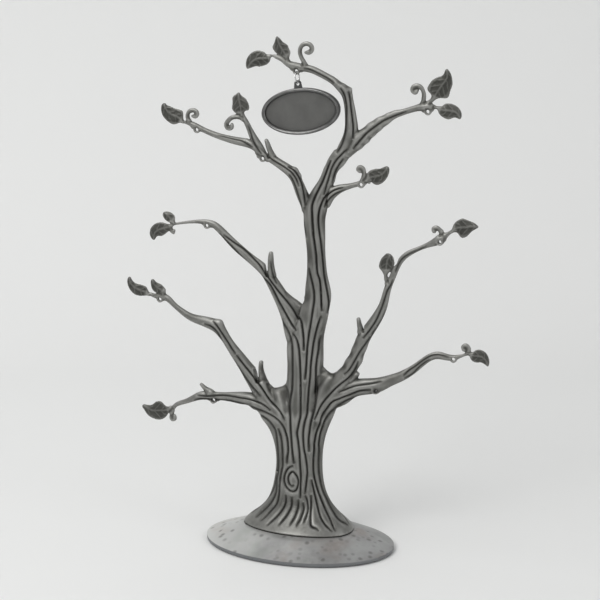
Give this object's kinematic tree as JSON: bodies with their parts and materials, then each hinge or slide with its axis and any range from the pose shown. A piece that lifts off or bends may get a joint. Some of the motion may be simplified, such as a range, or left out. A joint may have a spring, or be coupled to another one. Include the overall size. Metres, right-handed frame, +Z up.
{
  "type": "photo tree stand",
  "caption": "Table-top cast metal tree on a domed oval base, with hanging eyes along its boughs and a small oval photo frame swinging from the crown by a jump ring.",
  "frame": {"origin": "middle of the underside of the base, where it rests on the table", "axes": "+Z up, +X to the right seen from the front, +Y to the back: the tree lies in the XZ plane and its front faces -Y"},
  "size_m": [0.2045, 0.073, 0.2738],
  "materials": {
    "cast_metal": "antiqued pewter: dark patina in the bark grooves, ridges rubbed lighter",
    "base_metal": "antiqued pewter, mottled and satin",
    "ring_wire": "bright nickel",
    "frame_metal": "pewter, rubbed bright on the bevel",
    "backing": "smooth matte dark grey",
    "felt": "short felt",
    "steel": "plain zinc plated"
  },
  "bodies": {
    "stand": {"base_plate": "base_metal", "felt_pad": "felt", "tree_screws": "steel", "trunk": "cast_metal", "main_stem": "cast_metal", "crown_bough": "cast_metal", "right_top_bough": "cast_metal", "right_top_twig": "cast_metal", "left_top_bough": "cast_metal", "left_top_twig": "cast_metal", "left_high_bough": "cast_metal", "left_mid_bough": "cast_metal", "left_low_bough": "cast_metal", "right_mid_bough": "cast_metal", "right_low_bough": "cast_metal", "left_fork_web": "cast_metal", "right_fork_web": "cast_metal", "left_top_spur": "cast_metal", "left_high_spur": "cast_metal", "left_mid_spur": "cast_metal", "left_low_spur": "cast_metal", "right_mid_spur": "cast_metal", "crown_end_leaf": "cast_metal", "left_top_end_leaf": "cast_metal", "left_top_twig_leaf": "cast_metal", "right_top_twig_leaf": "cast_metal", "left_high_end_leaf": "cast_metal", "left_mid_end_leaf": "cast_metal", "left_low_end_leaf": "cast_metal", "right_mid_end_leaf": "cast_metal", "right_low_end_leaf": "cast_metal", "crown_top_leaf": "cast_metal", "right_top_upper_leaf": "cast_metal", "right_top_lower_leaf": "cast_metal", "left_high_top_leaf": "cast_metal", "left_mid_top_leaf": "cast_metal", "right_mid_inner_leaf": "cast_metal", "crown_tendril": "cast_metal", "left_top_tendril": "cast_metal", "left_top_twig_tendril": "cast_metal", "right_top_tendril": "cast_metal", "right_top_twig_tendril": "cast_metal", "left_high_tendril": "cast_metal", "left_low_tendril": "cast_metal", "right_mid_tendril": "cast_metal", "right_low_tendril": "cast_metal", "crown_eye": "cast_metal", "left_top_outer_eye": "cast_metal", "left_top_inner_eye": "cast_metal", "right_top_eye": "cast_metal", "right_top_twig_eye": "cast_metal", "left_high_eye": "cast_metal", "left_mid_eye": "cast_metal", "left_low_eye": "cast_metal", "right_mid_eye": "cast_metal", "right_low_outer_eye": "cast_metal", "right_low_inner_eye": "cast_metal"},
    "ring": {"jump_ring": "ring_wire"},
    "hanging_frame": {"oval_frame": "frame_metal", "backing_plate": "backing"}
  },
  "joints": [
    {"name": "ring_swing", "type": "hinge", "parent": "stand", "child": "ring", "pos_m": [-0.00169, 0, 0.25645], "axis": [0, 1, 0], "range_deg": [-6, 22]},
    {"name": "frame_swing", "type": "hinge", "parent": "ring", "child": "hanging_frame", "pos_m": [-0.00132, 0, 0.25322], "axis": [0.9936, 0, 0.1132], "range_deg": [-85, 85]}
  ]
}
